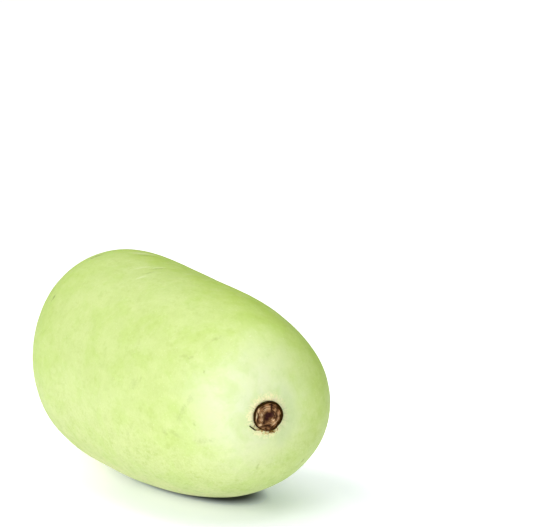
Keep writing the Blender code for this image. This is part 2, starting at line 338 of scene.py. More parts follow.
def fruit_outline_point(turn):
    """(x, radius) on the fruit's outline, from turn 0 at the blossom tip to pi at the stem tip."""
    reach, bluntness = end_on(cos(turn))
    x = reach * abs(cos(turn)) ** (2 / bluntness)
    fullness = abs(sin(turn)) ** (2 / bluntness)
    return x, FRUIT_RADIUS * fullness * (1 - THINNING_PER_METRE * x)


def fruit_outline(stations):
    """Points spaced evenly along the outline, both ends on the axis."""
    turns = np.linspace(0, pi, 4000)
    points = np.array([fruit_outline_point(turn) for turn in turns])
    steps = np.linalg.norm(np.diff(points, axis=0), axis=1)
    run = np.concatenate([[0], np.cumsum(steps)])
    even = np.interp(np.linspace(0, run[-1], stations + 1), run, turns)
    inner = [fruit_outline_point(turn) for turn in even[1:-1]]
    return [(BLOSSOM_REACH, 0)] + inner + [(-STEM_REACH, 0)]


def section_share(angle):
    """How far the section stands out at an angle from +Y, compared with a circle."""
    oval = OVAL_SHARE * cos(2 * (angle - OVAL_ANGLE))
    triangle = TRIANGLE_SHARE * cos(3 * (angle - TRIANGLE_ANGLE))
    return 1 + oval + triangle


def skin_wave(x, angle):
    """Faint unevenness of the skin, about one wave to each few centimetres."""
    return WAVE_HEIGHT * sum(share * sin(count * angle + turn * x + start)
                             for share, count, turn, start in SKIN_WAVES)


def skin(point):
    """From the plain turned body to the skin: section, waves, and a middle that hangs below the ends."""
    plain, angle = polar(point)
    radius = plain * section_share(angle) + skin_wave(point.x, angle) * plain / FRUIT_RADIUS
    placed = from_polar(point.x, radius, angle)
    placed.y += point.x ** 2 / (2 * BEND_RADIUS)
    placed.z += point.x ** 2 / (2 * SAG_RADIUS)
    return placed


def skin_at(x, angle):
    """Place on the skin, in the frame, at a distance along the fruit and an angle from +Y."""
    reach, bluntness = end_on(x)
    fullness = (1 - (x / reach) ** bluntness) ** (1 / bluntness)
    return BODY @ skin(from_polar(x, FRUIT_RADIUS * fullness * (1 - THINNING_PER_METRE * x), angle))


def blossom_end_point(radius, angle):
    """Skin point of the blossom end at a distance from its tip."""
    plain = radius / (section_share(angle) * (1 - THINNING_PER_METRE * BLOSSOM_REACH))
    x = BLOSSOM_REACH * (1 - (plain / FRUIT_RADIUS) ** BLOSSOM_BLUNTNESS) ** (1 / BLOSSOM_BLUNTNESS)
    return skin(from_polar(x, plain * (1 - THINNING_PER_METRE * x), angle))


def stem_end_drop(radius):
    """How far the skin falls away from the stem tip at a distance from the axis."""
    plain = radius / (1 + THINNING_PER_METRE * STEM_REACH)
    return STEM_REACH * (1 - (1 - (plain / FRUIT_RADIUS) ** STEM_BLUNTNESS) ** (1 / STEM_BLUNTNESS))


def body_matrix():
    """From the fruit's own axes to the frame: a little nose low, set where the solid fruit's box is."""
    lie = Matrix.Rotation(LIE_ANGLE, 4, "Y")
    shape = turned(fruit_outline(60), 90)
    corners = np.array([lie @ skin(vertex.co) for vertex in shape.verts])
    shape.free()
    low, high = (np.array(corner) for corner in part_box("fruit"))
    move = (low + high - corners.min(axis=0) - corners.max(axis=0)) / 2
    move[2] = high[2] - corners[:, 2].max()
    return Matrix.Translation(move) @ lie


BODY = body_matrix()


def scar_matrix():
    """Places the scar: its X points out of the skin and leans a little to -Y."""
    step = 0.0005
    centre = blossom_end_point(SCAR_OFFSET, SCAR_ANGLE)
    outwards = blossom_end_point(SCAR_OFFSET + step, SCAR_ANGLE) - centre
    around = blossom_end_point(SCAR_OFFSET, SCAR_ANGLE + step / SCAR_OFFSET) - centre
    leaned = Matrix.Rotation(-SCAR_LEAN, 3, "Z") @ outwards.cross(around).normalized()
    return BODY @ Matrix.Translation(centre) @ leaned.to_track_quat("X", "Z").to_matrix().to_4x4()


SCAR_PLACE = scar_matrix()

# The stub stands on the stem tip and points to -X
STEM_PLACE = BODY @ Matrix.Translation(skin(Vector((-STEM_REACH, 0, 0)))) @ Matrix.Rotation(pi, 4, "Z")


# Nodes of the materials and the sky


class Recipe:
    """The node tree of a material or the sky, with short ways to add what the finishes here use."""

    def __init__(self, name, sky=False):
        self.made = (bpy.data.worlds if sky else bpy.data.materials).new(name)
        self.made.use_nodes = True
        self.tree = self.made.node_tree
        self.shader = self.tree.nodes["Background" if sky else "Principled BSDF"]
        self.place = self.add("ShaderNodeTexCoord").outputs["Generated" if sky else "Object"]

    def add(self, kind, inputs=None, **settings):
        """Adds a node with its settings, then feeds its inputs by name or number."""
        made = self.tree.nodes.new(kind)
        for name, value in settings.items():
            setattr(made, name, value)
        for name, value in (inputs or {}).items():
            self.feed(made.inputs[name], value)
        return made

    def feed(self, socket, value):
        """Links an output to a socket, or sets a plain value on it."""
        if isinstance(value, bpy.types.NodeSocket):
            self.tree.links.new(value, socket)
        else:
            socket.default_value = value

    def math(self, operation, first, second=0.0):
        return self.add("ShaderNodeMath", {0: first, 1: second}, operation=operation).outputs[0]

    def plus(self, first, second):
        return self.math("ADD", first, second)

    def times(self, first, *others):
        """Product of two shares or more."""
        for other in others:
            first = self.math("MULTIPLY", first, other)
        return first

    def stretch(self, value, low, high, to_low=0.0, to_high=1.0):
        """Maps a range to another with soft ends."""
        inputs = dict(enumerate((value, low, high, to_low, to_high)))
        return self.add("ShaderNodeMapRange", inputs, interpolation_type="SMOOTHSTEP").outputs[0]

    def spread(self, pattern, low, high):
        """Spreads most values of a noise pattern over a range."""
        return self.stretch(pattern, 0.3, 0.7, low, high)

    def mapped(self, scale=(1, 1, 1), turn=(0, 0, 0), centre=(0, 0, 0)):
        """Object coordinates, moved to a centre, turned back and then scaled along each axis."""
        size = [1 / share for share in scale]
        inputs = {"Vector": self.place, "Location": centre, "Rotation": turn, "Scale": size}
        return self.add("ShaderNodeMapping", inputs, vector_type="TEXTURE").outputs[0]

    def noise(self, scale, detail, roughness, vector=None, distortion=0.0):
        """Soft noise from 0 to 1, with about as many waves to the unit as its scale."""
        inputs = {"Vector": vector or self.place, "Scale": scale, "Detail": detail,
                  "Roughness": roughness, "Distortion": distortion}
        return self.add("ShaderNodeTexNoise", inputs).outputs["Fac"]

    def cells(self, scale):
        """Distance to the nearest of many scattered points, and a chance colour for each point."""
        made = self.add("ShaderNodeTexVoronoi", {"Vector": self.place, "Scale": scale}, feature="F1")
        return made.outputs["Distance"], made.outputs["Color"]

    def blend(self, share, first, second):
        """Mixes two colours; plain colours are linear RGB."""
        first, second = [colour if isinstance(colour, bpy.types.NodeSocket) else (*colour, 1)
                         for colour in (first, second)]
        return self.add("ShaderNodeMix", {0: share, 6: first, 7: second}, data_type="RGBA").outputs[2]

    def tint(self, colour, pattern, low, high, most, other):
        """Blends in another colour where a pattern goes from low to high, up to a most share."""
        return self.blend(self.stretch(pattern, low, high, 0.0, most), colour, other)

    def attribute(self, name):
        return self.add("ShaderNodeAttribute", attribute_name=name).outputs["Fac"]

    def axis(self, name, vector=None):
        return self.add("ShaderNodeSeparateXYZ", {0: vector or self.place}).outputs[name]

    def distance(self, vector):
        """Length of a vector."""
        return self.add("ShaderNodeVectorMath", {0: vector}, operation="LENGTH").outputs["Value"]

    def set(self, name, value):
        self.feed(self.shader.inputs[name], value)

    def relief(self, height, distance, strength):
        """Bump from a height field."""
        inputs = {"Height": height, "Distance": distance, "Strength": strength}
        self.set("Normal", self.add("ShaderNodeBump", inputs).outputs[0])

    def finished(self, colour, roughness, shine):
        """Sets what every material here has, and gives the material."""
        self.set("Base Color", colour)
        self.set("Roughness", roughness)
        self.set("Specular IOR Level", shine)
        return self.made


def mark(recipe, ragged, station, angle, slope, length, width):
    """Soft elongated spot on the skin, placed as in MARKS: 1 in its middle, 0 outside."""
    station, length, width = station / 1000, length / 1000, width / 1000
    angle, slope = radians(angle), radians(slope)
    centre = skin_at(station, angle)
    forwards = skin_at(station + 0.001, angle) - centre
    out = forwards.cross(skin_at(station, angle + 0.02) - centre).normalized()
    along = Vector((0.47 * cos(slope), 0.88 * cos(slope), sin(slope)))
    along = (along - along.project(out)).normalized()
    turn = Matrix((along, out.cross(along), out)).transposed().to_euler()
    near = recipe.mapped((1 / length, 1 / width, 1 / (length + 4 * width)), turn, centre)
    return recipe.stretch(recipe.plus(recipe.distance(near), ragged), 1.15, 0.0)


# Settings


def swatch(name, default, description):
    """Setting for a colour, as linear RGB."""
    return FloatVectorProperty(name=name, subtype="COLOR", default=default, description=description)


def ring_steps(default, least, most):
    return IntProperty(name="Steps", default=default, min=least, max=most, description="Points of each ring")


class GourdSkinSettings(bpy.types.PropertyGroup):
    stations: IntProperty(
        name="Stations", default=200, min=40, max=280, description="Rings of the skin between the two tips")
    steps: ring_steps(240, 48, 340)
    dimple_depth: FloatProperty(
        name="Dimple depth", default=0.00007, unit="LENGTH", precision=5,
        description="Depth of the small uneven places of the skin")
    colour: swatch("Skin", (0.62, 0.75, 0.275), "Yellow-green of the middle of the fruit")
    blossom_colour: swatch("Blossom end", (0.79, 0.86, 0.56), "Paler green round the blossom scar")
    stem_colour: swatch("Stem end", (0.52, 0.72, 0.12), "Deeper green towards the stem")


class GourdScarSettings(bpy.types.PropertyGroup):
    steps: ring_steps(200, 48, 260)
    wrinkle_height: FloatProperty(
        name="Wrinkle height", default=0.00010, unit="LENGTH", precision=5,
        description="Height of the fine wrinkles of the disc")
    rim_colour: swatch("Rim", (0.026, 0.011, 0.000), "Near-black brown of the raised ring")
    disc_colour: swatch("Disc", (0.45, 0.23, 0.10), "Brown of the dry disc")


class GourdStemSettings(bpy.types.PropertyGroup):
    steps: ring_steps(240, 60, 300)
    green: swatch("Green", (0.40, 0.62, 0.11), "Fresh green of the ribs")
    cut_colour: swatch("Cut", (0.32, 0.28, 0.07), "Olive of the dried cut face")


class GourdHairSettings(bpy.types.PropertyGroup):
    count: IntProperty(
        name="Hairs", default=1500, min=0, max=3000, description="Hairs round the foot of the stem")
    length: FloatProperty(name="Length", default=0.0032, unit="LENGTH", description="Usual length of a hair")
    radius: FloatProperty(
        name="Radius", default=0.00005, unit="LENGTH", precision=5,
        description="Half thickness of a hair at its root")


class GourdStageSettings(bpy.types.PropertyGroup):
    azimuth: FloatProperty(
        name="Azimuth", default=radians(61.96), subtype="ANGLE",
        description="Camera's turn from looking along +Y")
    elevation: FloatProperty(
        name="Elevation", default=radians(6.65), subtype="ANGLE",
        description="Camera's height angle over the floor")
    distance: FloatProperty(
        name="Distance", default=0.985, unit="LENGTH",
        description="From the camera to the point that it aims at")
    key_power: FloatProperty(
        name="Key light", default=10.9, unit="POWER", description="Power of the large soft light at the left")
    top_power: FloatProperty(
        name="Top light", default=13.0, unit="POWER", description="Power of the soft light overhead")


# Materials


def skin_material(settings):
    """Pale waxy rind: broad tints, mottling, a few marks, lobes by the stem and dry skin by the scar."""
    recipe = Recipe("gourd_skin")
    drift = recipe.times(recipe.math("SUBTRACT", recipe.noise(45, 3, 0.6), 0.5), 0.022)
    near_scar = recipe.plus(recipe.distance(recipe.mapped(centre=PALE_CENTRE)), drift)
    low = recipe.stretch(recipe.axis("Z"), *LOW_RANGE)
    grain = recipe.stretch(recipe.noise(1100, 3, 0.6), 0.40, 0.64)
    colour = broad_tints(recipe, settings, drift, near_scar, low)
    colour = mottling(recipe, colour, near_scar, low, grain)
    colour = skin_marks(recipe, colour)
    patch = recipe.times(recipe.attribute("lobe_patch"), recipe.stretch(grain, 0.0, 1.0, 0.5, 0.9))
    colour = recipe.blend(patch, colour, LOBE_GREEN)
    colour = scar_surround(recipe, colour)
    recipe.set("Subsurface Weight", 0.12)
    recipe.set("Subsurface Radius", (0.6, 1.0, 0.25))
    recipe.set("Subsurface Scale", 0.004)
    pores = recipe.times(recipe.noise(900, 3, 0.6), 0.3)
    recipe.relief(recipe.plus(pores, recipe.noise(170, 3, 0.5)), 0.00022, 0.55)
    return recipe.finished(colour, recipe.spread(recipe.noise(220, 4, 0.6), 0.40, 0.50), 0.38)


def broad_tints(recipe, settings, drift, near_scar, low):
    """Colour by place: painted shade on far side and ridge, greener stem end, paler blossom end, duller
    underside.
    """
    far_side = recipe.plus(recipe.axis("Y"), drift)
    station = recipe.plus(recipe.axis("X"), drift)
    height = recipe.axis("Z")
    # Painted shade and green reflection on the far side
    colour = recipe.tint(settings.colour, far_side, *FAR_SIDE_RANGE, 0.65, FAR_SIDE_PAINTED_SHADE)
    colour = recipe.tint(colour, near_scar, *PALE_RANGE, 1.0, settings.blossom_colour)
    colour = recipe.tint(colour, station, *STEM_RANGE, 1.0, settings.stem_colour)
    colour = recipe.blend(recipe.times(low, 0.26), colour, LOW_OLIVE)
    colour = recipe.tint(colour, height, *LYING_RANGE, 0.5, LYING_CREAM)
    # Painted shade and green reflection along the ridge at the top of the far side
    ridge = recipe.times(recipe.stretch(height, *RIDGE_RANGE), recipe.stretch(far_side, *RIDGE_SIDE_RANGE))
    return recipe.blend(recipe.times(ridge, 0.5), colour, RIDGE_PAINTED_SHADE)


def mottling(recipe, colour, near_scar, low, grain):
    """Soft clouds, olive spots in clumps, grain, streaks and pale flecks, weaker near the scar."""
    clouds = recipe.noise(140, 4, 0.6, recipe.mapped((0.7, 1, 1)))
    colour = recipe.tint(colour, clouds, 0.36, 0.66, 0.26, CLOUD_YELLOW)
    deeper = recipe.noise(75, 4, 0.6, recipe.mapped((0.8, 1, 1), centre=(0.02, 0.05, 0.03)), 0.4)
    colour = recipe.tint(colour, deeper, 0.46, 0.66, 0.30, DEEP_GREEN)
    calm = recipe.stretch(near_scar, 0.012, 0.045, 0.25, 1.0)
    clumps = recipe.stretch(recipe.noise(130, 3, 0.6), 0.34, 0.62)
    spots = recipe.stretch(recipe.noise(430, 4, 0.65, recipe.mapped((0.7, 1, 1))), 0.44, 0.66)
    spots = recipe.times(clumps, calm, spots, recipe.stretch(low, 0, 1, 0.20, 0.42))
    colour = recipe.blend(spots, colour, SPOT_OLIVE)
    grains = recipe.times(calm, grain, recipe.stretch(low, 0, 1, 0.08, 0.20))
    colour = recipe.blend(grains, colour, GRAIN_OLIVE)
    streaks = recipe.noise(260, 4, 0.6, recipe.mapped((0.14, 1, 1)))
    colour = recipe.tint(colour, streaks, 0.56, 0.74, 0.12, STREAK_GREEN)
    reach, chance = recipe.cells(700)
    fleck = recipe.math("LESS_THAN", reach, recipe.times(recipe.axis("X", chance), 0.22))
    return recipe.blend(recipe.times(fleck, 0.18), colour, FLECK_CREAM)


def skin_marks(recipe, colour):
    """The small marks of the skin, with ragged edges: spots, and painted light and shade of shallow wrinkles.
    """
    ragged = recipe.spread(recipe.noise(900, 3, 0.6), -0.35, 0.35)
    for *place, strength in MARKS:
        spot = mark(recipe, ragged, *place)
        # Pale marks paint light on wrinkles; dark marks are spots, and beside pale marks they paint shade
        shade = DARK_SPOT_AND_PAINTED_SHADE if strength > 0 else PAINTED_LIGHT_MARK
        colour = recipe.blend(recipe.times(spot, abs(strength)), colour, shade)
    return colour


def scar_surround(recipe, colour):
    """Cream ring with small puckers round the scar, painted shade on the skin at its right, a dry fringe
    below.
    """
    unit = 1 / SCAR_RADIUS
    near = recipe.mapped((0.05 * unit, unit, unit), SCAR_PLACE.to_euler(), SCAR_PLACE.translation)
    share = recipe.distance(near)
    way = recipe.add("ShaderNodeVectorMath", {0: near}, operation="NORMALIZE").outputs[0]
    rays = recipe.noise(7, 3, 0.6, way)
    uneven = recipe.plus(share, recipe.spread(recipe.noise(1100, 3, 0.6), -0.16, 0.16))
    halo = recipe.times(recipe.stretch(uneven, 1.62, 1.10), recipe.stretch(rays, 0.34, 0.52, 0.30, 1.0))
    colour = recipe.blend(halo, colour, HALO_CREAM)
    # Painted shade on the skin right of the scar
    right = recipe.stretch(recipe.axis("Y", near), 0.2, 1.2, 0.0, 0.4)
    colour = recipe.blend(recipe.times(right, recipe.stretch(share, 2.7, 1.7)), colour, SCAR_RIGHT_PAINTED_SHADE)
    pucker = recipe.times(recipe.stretch(uneven, 1.65, 1.25), recipe.stretch(rays, 0.46, 0.38, 0.0, 0.4),
                          recipe.stretch(recipe.noise(1300, 2, 0.5), 0.45, 0.6))
    colour = recipe.blend(pucker, colour, PUCKER_OLIVE)
    below = recipe.stretch(recipe.axis("Z", near), -0.62, -0.98, 0.0, 0.85)
    colour = recipe.blend(recipe.times(recipe.stretch(uneven, 1.21, 1.06), below), colour, FRINGE_BROWN)
    tuft = recipe.mapped((1 / 0.0012, 1 / 0.0012, 1 / 0.0008), centre=SCAR_PLACE @ TUFT_FOOT)
    return recipe.tint(colour, recipe.distance(tuft), 1.0, 0.3, 1.0, TUFT_BROWN)


def scar_material(settings):
    """Dry wrinkled tissue: painted shade in its creases, painted light and glints on its folds, dark on the
    rim, with a maroon middle.
    """
    recipe = Recipe("dried_scar")
    tone_and_shading = recipe.attribute("tone_and_shading")
    patches = recipe.noise(520, 4, 0.6)
    disc = recipe.tint(settings.disc_colour, patches, 0.34, 0.60, 1.0, PATCH_BROWN)
    # Painted light on the folds, painted glints on the highest ones and painted shade in the creases
    disc = recipe.tint(disc, tone_and_shading, 0.05, 0.85, 1.0, FOLD_TAN_AND_PAINTED_LIGHT)
    disc = recipe.tint(disc, tone_and_shading, 1.1, 1.9, 1.0, PAINTED_GLINT_CREAM)
    disc = recipe.tint(disc, tone_and_shading, 0.0, -0.55, 1.0, CREASE_PAINTED_SHADE)
    disc = recipe.blend(recipe.attribute("middle"), disc, MIDDLE_MAROON)
    rim = recipe.blend(recipe.attribute("worn"), settings.rim_colour, WORN_BROWN)
    ragged = recipe.plus(recipe.attribute("rim"), recipe.spread(patches, -0.15, 0.15))
    colour = recipe.blend(recipe.stretch(ragged, 0.35, 0.65), disc, rim)
    shine = recipe.stretch(ragged, 0.35, 0.65, 0.12, 0.04)
    recipe.relief(recipe.noise(2600, 4, 0.65), 0.00012, 0.8)
    return recipe.finished(colour, recipe.spread(patches, 0.42, 0.66), shine)


def thread_material():
    """Dark dry thread, browner and lighter where it leaves the scar."""
    recipe = Recipe("dry_thread")
    reach = recipe.distance(recipe.mapped(centre=SCAR_PLACE.translation))
    fibre = recipe.noise(1800, 3, 0.6)
    near = recipe.blend(fibre, THREAD_BROWN, THREAD_TAN)
    free = recipe.blend(fibre, THREAD_BLACK, THREAD_OLIVE)
    recipe.relief(fibre, 0.0001, 0.6)
    return recipe.finished(recipe.tint(near, reach, 0.0074, 0.0081, 1.0, free), 0.6, 0.08)


def stem_material(settings):
    """Ribbed green stalk with darker furrows, drying to brown at the olive cut."""
    recipe = Recipe("stalk")
    rise, rib, cut, ring, crust = [recipe.attribute(name) for name in STALK_VALUES]
    lengthwise = recipe.noise(420, 4, 0.6, recipe.mapped((0.15, 1, 1)))
    side = recipe.tint(FURROW_GREEN, rib, 0.1, 0.75, 1.0, settings.green)
    side = recipe.tint(side, lengthwise, 0.45, 0.75, 1.0, STRIPE_GREEN)
    side = recipe.tint(side, rise, 0.10, 0.0, 1.0, FOOT_GREEN)
    tips = recipe.times(recipe.stretch(rise, 0.11, 0.02), recipe.stretch(rib, 0.75, 1.0, 0.0, 0.85))
    side = recipe.blend(tips, side, RIB_TIP_GREEN)
    high = recipe.plus(rise, recipe.spread(recipe.noise(700, 4, 0.65), -0.06, 0.06))
    side = recipe.tint(side, high, 0.95, 0.99, 0.9, EDGE_STRAW)
    side = recipe.blend(recipe.times(recipe.stretch(high, 0.74, 0.84), crust), side, BARK_BROWN)
    speckle = recipe.noise(900, 4, 0.65)
    blotches = recipe.noise(380, 3, 0.6)
    drift = recipe.plus(ring, recipe.spread(blotches, -0.05, 0.05))
    face = recipe.tint(settings.cut_colour, blotches, 0.40, 0.62, 1.0, CUT_BROWN)
    face = recipe.tint(face, speckle, 0.50, 0.64, 0.75, SPECK_BROWN)
    face = recipe.tint(face, speckle, 0.46, 0.34, 0.6, SPECK_STRAW)
    face = recipe.tint(face, recipe.math("SINE", recipe.times(drift, 41.0)), 0.3, 1.0, 0.3, RING_OLIVE)
    face = recipe.tint(face, drift, 0.60, 0.42, 0.55, CORE_GREEN)
    face = recipe.tint(face, drift, 0.21, 0.13, 1.0, PIT_GREEN)
    edge = recipe.plus(drift, recipe.times(crust, 0.08))
    face = recipe.tint(face, edge, 0.90, 0.96, 1.0, CUT_RIM_BROWN)
    recipe.relief(recipe.plus(speckle, lengthwise), 0.00018, 0.7)
    return recipe.finished(recipe.blend(cut, side, face), recipe.spread(speckle, 0.45, 0.75), 0.35)


def hair_material():
    """Whitish hairs that catch the light."""
    recipe = Recipe("stem_hairs")
    return recipe.finished(recipe.blend(recipe.noise(300, 2, 0.5), HAIR_WHITE, HAIR_BRIGHT), 0.45, 0.5)


def floor_material():
    """White table with a painted glow, and a dark grey painted shadow close under the gourd."""
    recipe = Recipe("studio_floor")
    # Painted shadow: dark grey in an oval close under the gourd, where the camera sees no glow
    under = recipe.distance(recipe.mapped(PAINTED_SHADOW_SCALE, centre=PAINTED_SHADOW_CENTRE))
    outside_painted_shadow = recipe.stretch(under, 0.88, 1.28)
    white = recipe.blend(recipe.noise(3, 2, 0.5), FLOOR_WHITE, FLOOR_BRIGHT)
    # Painted glow that stands in for light on the table: bluish and weaker near the gourd, where it leaves a
    # soft painted shadow
    reach = recipe.distance(recipe.mapped((0.7, 1, 1), centre=GLOW_CENTRE))
    recipe.set("Emission Color", recipe.tint(NEAR_GLOW, reach, *GLOW_RANGE, 1.0, FAR_GLOW))
    glow = recipe.times(recipe.stretch(reach, *GLOW_RANGE, FLOOR_GLOW, FAR_FLOOR_GLOW), outside_painted_shadow)
    glow = recipe.plus(glow, recipe.stretch(reach, *HORIZON_RANGE, 0.0, HORIZON_GLOW))
    seen = recipe.add("ShaderNodeLightPath").outputs["Is Camera Ray"]
    recipe.set("Emission Strength", recipe.stretch(seen, 0, 1, UNSEEN_FLOOR_GLOW, glow))
    return recipe.finished(recipe.blend(outside_painted_shadow, PAINTED_SHADOW_GREY, white), 0.75, 0.2)


# Pieces


class GOURD_OT_fruit(bpy.types.Operator):
    """Make the fruit's smooth skin"""
    bl_idname = "gourd.fruit"
    bl_label = "Fruit"

    def execute(self, context):
        settings = context.scene.gourd_skin
        shape = turned(fruit_outline(settings.stations), settings.steps)
        for vertex in shape.verts:
            vertex.co = skin(vertex.co)
        shape.normal_update()
        for vertex in shape.verts:
            bumps = noise.noise(vertex.co * 90) + 0.5 * noise.noise(vertex.co * 240)
            vertex.co -= vertex.normal * settings.dimple_depth * (1 + bumps)
        bmesh.ops.transform(shape, matrix=BODY, verts=shape.verts)
        pucker(shape)
        press_seat(shape, SCAR_PLACE, 0.95 * SCAR_RADIUS, SCAR_ROOT)
        press_seat(shape, STEM_PLACE, 0.70 * FLARE_RADIUS, STEM_ROOT)
        for vertex in shape.verts:
            vertex.co.z = max(0.0, vertex.co.z)
        patches = lobe_patches(shape)
        made = as_object(shape, "gourd_fruit", Matrix.Identity(4))
        store(made, ["lobe_patch"], zip(patches))
        replace_node(made, "fruit", skin_material(settings))
        return {"FINISHED"}


def lobe_patches(shape):
    """For each point of the skin, how much it lies in a green patch where a rib of the stem runs out."""
    into = STEM_PLACE.inverted()
    shares = []
    for vertex in shape.verts:
        local = into @ vertex.co
        radius, angle = polar(local)
        ring = exp(-((radius / FLARE_RADIUS - LOBE_RING) / LOBE_RING_WIDTH) ** 2)
        near = local.x > -LOBES_NEAR_ALONG
        shares.append(near * ring * smoothstep(0.5, 1.0, rib_at(angle)))
    return shares


def press_seat(shape, place, radius, depth):
    """Presses a shallow hollow into the skin under a piece, hidden by the piece's own edge."""
    into = place.inverted()
    for vertex in shape.verts:
        local = into @ vertex.co
        if abs(local.x) < NEAR_ALONG and hypot(local.y, local.z) < radius:
            sink = smoothstep(radius, 0.85 * radius, hypot(local.y, local.z))
            local.x -= depth * sink
            vertex.co = place @ local


def pucker(shape):
    """Draws the skin in a little, in short folds, round the scar."""
    into = SCAR_PLACE.inverted()
    for vertex in shape.verts:
        local = into @ vertex.co
        share = hypot(local.y, local.z) / SCAR_RADIUS
        if abs(local.x) < NEAR_ALONG and share < PUCKER_REACH:
            folds = noise.noise(Vector((local.y, local.z, 0)).normalized() * 3.5 + Vector((share, 0, 0)))
            local.x -= PUCKER_DEPTH * smoothstep(PUCKER_REACH, 1.0, share) * (1 + 1.6 * folds)
            vertex.co = SCAR_PLACE @ local


def scar_outline():
    """The solid's outline, from the root's middle over the dark rim and the disc to the sunken middle."""
    buried = [(-SCAR_ROOT, 0), (-SCAR_ROOT, 0.60), (-SCAR_ROOT, 0.95)]
    rim = [(-0.0002, 1), (0.0006, 1), (0.0010, 0.97), (0.0011, 0.91), (0.0007, 0.85), (0.0000, 0.80)]
    disc = [(0.0003, 0.73), (0.0002, 0.65), (0.0004, 0.57), (0.0002, 0.49), (0.0002, 0.40)]
    middle = [(-0.0003, 0.31), (-0.0007, 0.20), (-0.0006, 0.10), (-0.0008, 0)]
    return [(height, share * SCAR_RADIUS) for height, share in buried + rim + disc + middle]


def scar_point(point):
    """Wider than high, with an uneven rim and wrinkles on the disc."""
    radius, angle = polar(point)
    share = radius / SCAR_RADIUS
    uneven = 1 + 0.014 * sin(2 * angle + 0.9) + 0.010 * sin(5 * angle + 2.0)
    top = smoothstep(-0.0012, -0.0004, point.x)
    lobes = cos(5 * angle + 0.6) + 0.6 * cos(3 * angle + 2.0)
    wrinkle = SCAR_LOBE_HEIGHT * lobes * sin(pi * min(share, 0.8) / 0.8)
    wrinkle += SCAR_SPIRAL_HEIGHT * sin(4 * angle - 14 * share + 1.0)
    foot = smoothstep(0.8, 0.95, share) * smoothstep(0.2, 0.9, -sin(angle))
    lump = SCAR_LUMP_HEIGHT * sin(11 * angle + 0.5) * foot
    height = point.x + top * (wrinkle * smoothstep(0.05, 0.4, share) + lump)
    placed = from_polar(height, radius * uneven, angle)
    placed.y *= SCAR_WIDENING
    return placed


def crumple(point):
    """Fine folds that run round the disc, broken up by noise: about 0 in a crease and 1 on a fold."""
    radius, angle = polar(point)
    drift = noise.noise(Vector((point.y, point.z, 0)) * 420)
    folds = sin(radius * 9500 + 5 * drift + 2 * sin(3 * angle))
    cracks = abs(noise.noise(Vector((3 * cos(angle), 3 * sin(angle), radius * 300))))
    return 0.5 + 0.28 * folds + 0.5 * drift - 0.3 * smoothstep(0.06, 0.0, cracks)


def hump(across, up, right, rise, wide, high):
    """1 in the middle of an oval place of the disc, falling softly to 0 round it."""
    return exp(-((across - right) / wide) ** 2 - ((up - rise) / high) ** 2)


def disc_folds(across, up):
    """Height and tone that the folds of the disc add at a place, the tone with painted shade and light."""
    height = 0.0
    tone_and_shading = 0.0
    for *oval, lift, shade in SCAR_FOLDS:
        near = hump(across, up, *oval)
        height += lift * near
        tone_and_shading += shade * near
    on_arc = smoothstep(0.09, 0.02, abs(hypot(across, up) - PALE_ARC_RADIUS))
    on_arc *= smoothstep(0.5, 0.9, cos(atan2(up, across) + 0.5))
    return FOLD_STRENGTH * height + PALE_ARC_LIFT * on_arc, FOLD_STRENGTH * tone_and_shading + PALE_ARC_TONE * on_arc


class GOURD_OT_scar(bpy.types.Operator):
    """Make the dried blossom scar with its thread"""
    bl_idname = "gourd.scar"
    bl_label = "Blossom scar"

    def execute(self, context):
        settings = context.scene.gourd_scar
        shape = turned(smooth_outline(scar_outline(), 4), settings.steps)
        rows = []
        for vertex in shape.verts:
            radius, angle = polar(vertex.co)
            share = radius / SCAR_RADIUS
            across, up = vertex.co.y / SCAR_RADIUS, vertex.co.z / SCAR_RADIUS
            fold = crumple(vertex.co)
            lift, tone_and_shading = disc_folds(across, up)
            on_disc = smoothstep(0.86, 0.78, share) * smoothstep(-0.0012, -0.0009, vertex.co.x)
            on_rim = smoothstep(0.88, 0.94, share)
            rim_start = 0.873 - 0.055 * cos(angle)
            vertex.co = scar_point(vertex.co)
            wrinkle = (fold - 1.2) * on_disc + 0.8 * (fold - 1.5) * on_rim
            vertex.co.x += on_disc * lift + settings.wrinkle_height * wrinkle
            dip = max(hump(across, up, *hollow) for hollow in SCAR_HOLLOWS)
            maroon = smoothstep(0.25, 0.75, dip + 0.3 * (fold - 0.5))
            rim = smoothstep(rim_start - 0.05, rim_start + 0.05, share)
            worn = smoothstep(0.55, 0.9, cos(angle + 1.75)) * smoothstep(0.3, 0.8, fold)
            # Tone: the table's, plus painted shade in the fine creases and painted light on the fine folds
            rows.append((tone_and_shading + 0.9 * (fold - 0.6), maroon, rim, worn))
        made = as_object(shape, "gourd_blossom_scar", SCAR_PLACE)
        store(made, ("tone_and_shading", "middle", "rim", "worn"), rows)
        replace_node(made, "blossom_scar", scar_material(settings))
        route = smooth_outline(THREAD_ROUTE, 4)
        thread = threads("gourd_flower_thread", [route], THREAD_RADIUS, thread_taper)
        fibres = [smooth_outline(STRAND_ROUTE, 4)] + tuft_routes()
        strands = threads("gourd_flower_strands", fibres, FIBRE_RADIUS, lambda run: 1.2 - 0.3 * run)
        dry = thread_material()
        for made in (thread, strands):
            made.data.transform(SCAR_PLACE)
            made.data.materials.append(dry)
            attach(made, "root")
            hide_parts("blossom_scar")
        return {"FINISHED"}


def tuft_routes():
    """Routes of a few short fibres that stick out under the ring, a little right of its lowest point."""
    routes = []
    for index in range(TUFT_FIBRES):
        start = TUFT_START + TUFT_STEP * index
        spread = TUFT_STEP * (index - 2)
        length = 0.0006 + 0.0002 * cos(2.3 * index)
        points = [(0.0003, start, -0.0061), (0.0005, start + 0.5 * spread, -0.0065 - 0.4 * length),
                  (0.0004, start + spread, -0.0065 - length)]
        routes.append(smooth_outline(points, 3))
    return routes


